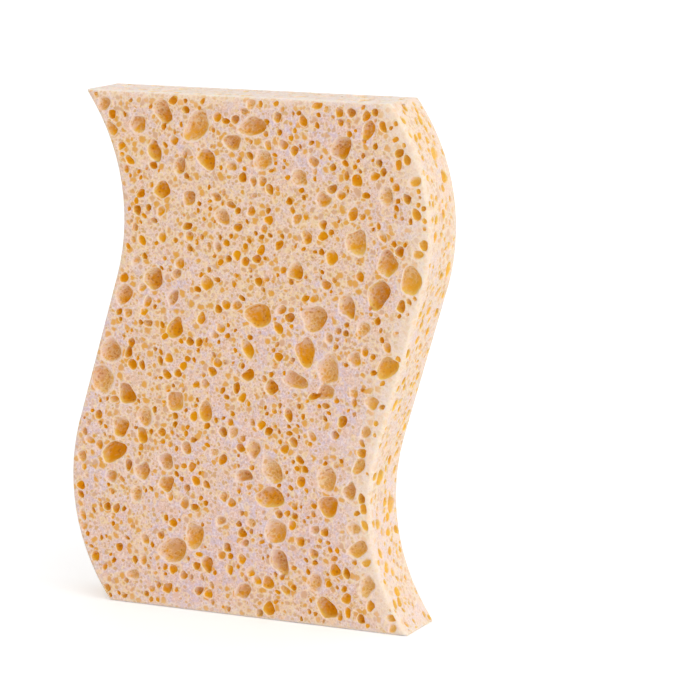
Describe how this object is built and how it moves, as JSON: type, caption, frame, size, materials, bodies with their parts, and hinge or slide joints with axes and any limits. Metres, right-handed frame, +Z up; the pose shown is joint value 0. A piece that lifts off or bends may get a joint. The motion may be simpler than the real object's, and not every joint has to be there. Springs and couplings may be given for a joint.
{
  "type": "cleaning sponge",
  "caption": "Flat cellulose cleaning sponge with wavy long sides and open pores in every face, standing on one short end.",
  "frame": {"origin": "middle of the box round the sponge, at the height of the short end that it stands on", "axes": "+Z up along the sponge's length, +X across the broad faces, -Y out of the front broad face"},
  "size_m": [0.0904, 0.015, 0.119],
  "materials": {
    "cellulose_foam": "matt open-celled cellulose foam, pinkish cream on the cut faces and ochre deep in the pores"
  },
  "bodies": {
    "root": {"sponge": "cellulose_foam"}
  },
  "joints": []
}
